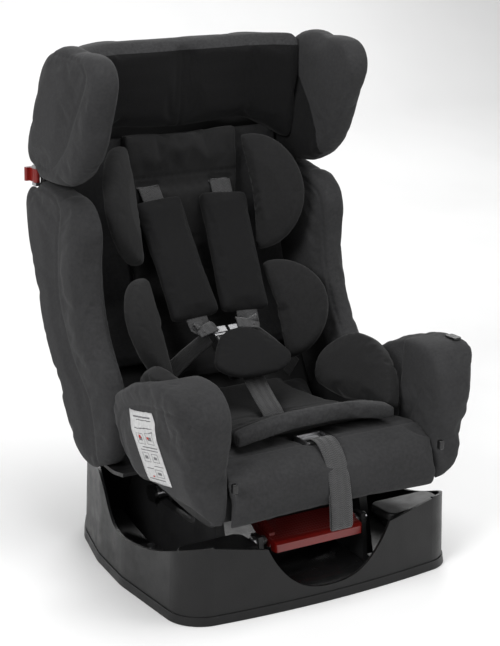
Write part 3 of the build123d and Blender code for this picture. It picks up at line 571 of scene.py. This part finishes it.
MESH_X, BAND_Z, LIP_HIGHLIGHT_Y = 0.180, 0.646, -0.160   # where the second colours start
points = read_points(PAD["head"].obj.data)
inner_face = MESH_X - points[:, 0]
mark(PAD["head"].obj, "mesh_side", np.minimum(inner_face, beyond_line(points[:, 1:], HEAD_MESH_EDGE)))
points = read_points(PAD["headrest"].obj.data)
mark(PAD["headrest"].obj, "grey_band", points[:, 2] - BAND_Z)
# painted highlight: marks the insert lip's front edge, which takes the lighter grey as if lit from above
points = read_points(PAD["lip"].obj.data)
mark(PAD["lip"].obj, "painted_highlight_edge", LIP_HIGHLIGHT_Y - points[:, 1])

for pad in PADS:
    pad.finish_up()
for key, name, node in (("head", "head_wing_pad_left", "head_wing_cover_left"),
                        ("torso", "torso_wing_pad_left", "torso_wing_cover_left"),
                        ("hip", "hip_wing_pad_left", "hip_wing_cover_left"),
                        ("head_bolster", "head_bolster_pad_left", "head_bolster_left"),
                        ("waist_bolster", "waist_bolster_pad_left", "waist_bolster_left"),
                        ("thigh_bolster", "thigh_bolster_pad_left", "thigh_bolster_left"),
                        ("shoulder", "shoulder_strap_pad_left", "shoulder_pad_left")):
    mirrored_pad(PAD[key], name, node)


# ---------------------------------------------------------------- straps
def ribbon(name, path, width, thickness, finish, node, across=(1, 0, 0), ridges=8):
    """Flat webbing with rounded edges, swept along a smooth path."""
    line = spline(metres(*path), 0.002)
    across = Vector(across).normalized()
    mesh = bmesh.new()
    uv_layer = mesh.loops.layers.uv.new("UVMap")
    half, thick = width / 2000, thickness / 2000
    profile = [(half * math.cos(math.pi * k / ridges), 1) for k in range(ridges + 1)]
    profile += [(half * math.cos(math.pi * (1 + k / ridges)), -1) for k in range(1, ridges)]
    travelled, lengths, rings = 0.0, [], []
    for i, point in enumerate(line):
        ahead, behind = line[min(i + 1, len(line) - 1)], line[max(i - 1, 0)]
        run = Vector(ahead - behind).normalized()
        out = run.cross(across).normalized()
        side = out.cross(run)
        if i:
            travelled += float(np.linalg.norm(point - line[i - 1]))
        lengths.append(travelled)
        ring = []
        for offset, face in profile:
            edge = math.sqrt(max(0.0, 1 - (abs(offset) / half) ** 6))
            ring.append(mesh.verts.new(Vector(point) + side * offset + out * (thick * face * edge)))
        rings.append(ring)
    count = len(profile)
    for i in range(len(rings) - 1):
        for k in range(count):
            n = (k + 1) % count
            quad = mesh.faces.new((rings[i][k], rings[i][n], rings[i + 1][n], rings[i + 1][k]))
            corners = ((k, i), (n, i), (n, i + 1), (k, i + 1))
            for loop, (column, row) in zip(quad.loops, corners):
                loop[uv_layer].uv = (profile[column][0] / (2 * half) + 0.5, lengths[row])
    for ring in (rings[0], rings[-1]):
        mesh.faces.new(ring)
    bmesh.ops.recalc_face_normals(mesh, faces=mesh.faces)
    data = bpy.data.meshes.new(name)
    mesh.to_mesh(data)
    mesh.free()
    obj = new_object(name, data)
    shade_smooth(obj)
    paint(obj, finish)
    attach(obj, "seat")
    if node:
        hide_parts(node)
    return obj


for side, s in SIDES.items():
    ribbon(f"shoulder_webbing_{side}",
           [(s * 56, 214, 446), (s * 56, 210, 462), (s * 56, 196, 468), (s * 56, 172, 468), (s * 55, 156, 464),
            (s * 54, 144, 452), (s * 39, 54, 306), (s * 34, 46, 299), (s * 30, 34, 290)],
           32, 1.6, "webbing", f"shoulder_strap_{side}")
    ribbon(f"lap_webbing_{side}", [(s * 110, 44, 219), (s * 88, 47, 238), (s * 62, 44, 260), (s * 30, 38, 284)],
           28, 1.6, "webbing", f"lap_strap_{side}")
ribbon("crotch_webbing", [(0, -76, 140), (0, -77, 180), (0, -74, 204), (0, -50, 222), (0, -24, 242)],
       32, 1.6, "webbing", "crotch_strap")
ribbon("adjuster_webbing_loop",
       [(0, -164, 168), (0, -169, 190), (0, -177, 204), (0, -196, 203), (0, -216, 182), (0, -228, 145),
        (0, -233, 110), (0, -231, 101), (0, -228, 106), (0, -225, 140), (0, -222, 166)],
       31, 1.7, "loop", "adjuster_strap")


# ---------------------------------------------------------------- labels
def flat_patch(name, size, cells, place, finishes, thickness=0.0006):
    """A thin sewn patch: size along two directions, laid by place(u, v) -> (point, normal)."""
    mesh = bmesh.new()
    columns, rows = cells
    grid = {}
    for level in (0, 1):
        for i in range(columns + 1):
            for j in range(rows + 1):
                point, normal = place((i / columns - 0.5) * size[0], (j / rows - 0.5) * size[1])
                grid[level, i, j] = mesh.verts.new(point + normal * thickness * level)
    for i in range(columns):
        for j in range(rows):
            mesh.faces.new([grid[1, *c] for c in ((i, j), (i + 1, j), (i + 1, j + 1), (i, j + 1))])
            mesh.faces.new([grid[0, *c] for c in ((i, j + 1), (i + 1, j + 1), (i + 1, j), (i, j))])
    rim = [(i, 0) for i in range(columns)] + [(columns, j) for j in range(rows)]
    rim += [(i, rows) for i in range(columns, 0, -1)] + [(0, j) for j in range(rows, 0, -1)]
    for a, b in zip(rim, rim[1:] + rim[:1]):
        mesh.faces.new((grid[0, *a], grid[0, *b], grid[1, *b], grid[1, *a]))
    bmesh.ops.recalc_face_normals(mesh, faces=mesh.faces)
    data = bpy.data.meshes.new(name)
    mesh.to_mesh(data)
    mesh.free()
    obj = new_object(name, data)
    shade_smooth(obj)
    paint(obj, *finishes)
    return obj


def surface_place(tree, centre, u_axis, v_axis, lift=0.0004):
    """Lays a patch's (u, v) on the nearest surface around a centre."""
    centre, u_axis, v_axis = Vector(centre) / 1000, Vector(u_axis).normalized(), Vector(v_axis).normalized()

    def place(u, v):
        point, normal = tree.find_nearest(centre + u_axis * u + v_axis * v)[:2]
        return point + normal * lift, normal
    return place


LABEL_BARS = [(-0.2, 41, 46, 2.0), (-4, 37, 38, 1.2), (0, 26, 44, 0.8), (-6, 3, 40, 1.2), (-2, -1, 46, 1.0),
              (-14, -22, 24, 0.9), (12, -26, 18, 0.9), (2, -41, 44, 1.3)]
LABEL_BLOCKS = [(-13, 15, 18, 14), (12, 14, 18, 14), (-12, -11, 16, 11), (12, -11, 16, 12),
                (-10, -32, 20, 10)]
LABEL_SPOTS = [(-9, 16, 5, 3), (12, 17, 5, 4), (9, -37, 4, 2)]
LABEL_X, LABEL_Y, LABEL_Z = 210, -122, 210
LABEL_TILT = math.radians(-13)
LABEL_U = (0, math.cos(LABEL_TILT), math.sin(LABEL_TILT))
LABEL_V = (0, -math.sin(LABEL_TILT), math.cos(LABEL_TILT))
for side, s in SIDES.items():
    hip = bpy.data.objects[f"hip_wing_pad_{side}"]
    tree = surface_tree(hip)

    def here(u, v, lift):
        centre = (s * LABEL_X, LABEL_Y + LABEL_U[1] * u + LABEL_V[1] * v,
                  LABEL_Z + LABEL_U[2] * u + LABEL_V[2] * v)
        return surface_place(tree, centre, LABEL_U, LABEL_V, lift)

    label = flat_patch(f"care_label_{side}", (0.062, 0.096), (12, 20), here(0, 0, 0.0004), ["label"])
    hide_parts("care_labels")
    parts = [label]
    for i, (u, v, wide, high) in enumerate(LABEL_BARS):
        parts.append(flat_patch(f"care_label_line_{side}_{i}", (wide / 1000, high / 1000), (10, 1),
                                here(u, v, 0.0011), ["ink"], 0.0001))
    for i, (u, v, wide, high) in enumerate(LABEL_BLOCKS):
        for k, (du, dv, w, h) in enumerate(((0, high / 2, wide, 0.6), (0, -high / 2, wide, 0.6),
                                            (wide / 2, 0, 0.6, high), (-wide / 2, 0, 0.6, high),
                                            (0, 0, wide * 0.5, high * 0.35))):
            parts.append(flat_patch(f"care_label_box_{side}_{i}_{k}", (w / 1000, h / 1000), (4, 4),
                                    here(u + du, v + dv, 0.0011), ["ink"], 0.0001))
    for i, (u, v, wide, high) in enumerate(LABEL_SPOTS):
        parts.append(flat_patch(f"care_label_spot_{side}_{i}", (wide / 1000, high / 1000), (3, 3),
                                here(u, v, 0.0014), ["spot"], 0.0001))
    with bpy.context.temp_override(active_object=label, selected_editable_objects=parts,
                                   selected_objects=parts, object=label):
        bpy.ops.object.join()
    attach(label, "seat")

# ---------------------------------------------------------------- camera, light and floor
CAMERA_AT = (-1.2744, -2.0107, 0.9855)
YAW, PITCH, ROLL = (math.radians(angle) for angle in (32.56, 15.87, 0.69))
ahead = Vector((math.sin(YAW) * math.cos(PITCH), math.cos(YAW) * math.cos(PITCH), -math.sin(PITCH)))
level = Vector((math.cos(YAW), -math.sin(YAW), 0))
upward = level.cross(ahead)
right = level * math.cos(ROLL) + upward * math.sin(ROLL)
up = upward * math.cos(ROLL) - level * math.sin(ROLL)
camera = bpy.data.objects.new("camera", bpy.data.cameras.new("camera"))
camera.data.lens = 105.66
camera.data.sensor_width = 36
camera.matrix_world = Matrix((right, up, -ahead)).transposed().to_4x4()
camera.location = CAMERA_AT
SCENE.collection.objects.link(camera)
SCENE.camera = camera

floor_mesh = bmesh.new()
depth_line = [(-3.0, 0.0), (1.6, 0.0), (2.2, 0.12), (2.6, 0.5), (2.8, 1.2), (2.8, 4.0)]
rows = [[floor_mesh.verts.new((x, y, z - 0.0004)) for x in (-4.5, 0, 4.5)] for y, z in depth_line]
for low, high in zip(rows, rows[1:]):
    for k in (0, 1):
        floor_mesh.faces.new((low[k], low[k + 1], high[k + 1], high[k]))
floor_data = bpy.data.meshes.new("floor")
floor_mesh.to_mesh(floor_data)
floor_mesh.free()
floor = new_object("floor", floor_data)
shade_smooth(floor)
paper = Finish("pale_paper", Roughness=0.9)
paper.colour(paper.ramp(paper.noise(3, 2), shades((0.84, 0.84, 0.84), 0.98, 1.02)))
floor.data.materials.append(paper.material)


def softbox(name, place, aim, size, power):
    light = bpy.data.lights.new(name, "AREA")
    light.shape, light.size, light.energy = "SQUARE", size, power
    obj = new_object(name, light)
    obj.location = place
    obj.rotation_euler = (Vector(aim) - Vector(place)).to_track_quat("-Z", "Y").to_euler()


softbox("key", (-2.6, -1.2, 1.9), (0, 0, 0.35), 1.3, 66)
softbox("overhead", (0.2, -0.6, 2.8), (0, 0, 0.3), 1.8, 54)
softbox("fill", (2.4, -2.2, 1.4), (0, 0, 0.35), 1.6, 22)
softbox("rim", (1.6, 2.2, 2.2), (0, 0, 0.4), 1.2, 34)
SCENE.world = bpy.data.worlds.new("studio")
SCENE.world.use_nodes = True
SCENE.world.node_tree.nodes["Background"].inputs["Color"].default_value = (0.8, 0.8, 0.8, 1)
SCENE.world.node_tree.nodes["Background"].inputs["Strength"].default_value = 0.30
SCENE.view_settings.view_transform = "Standard"
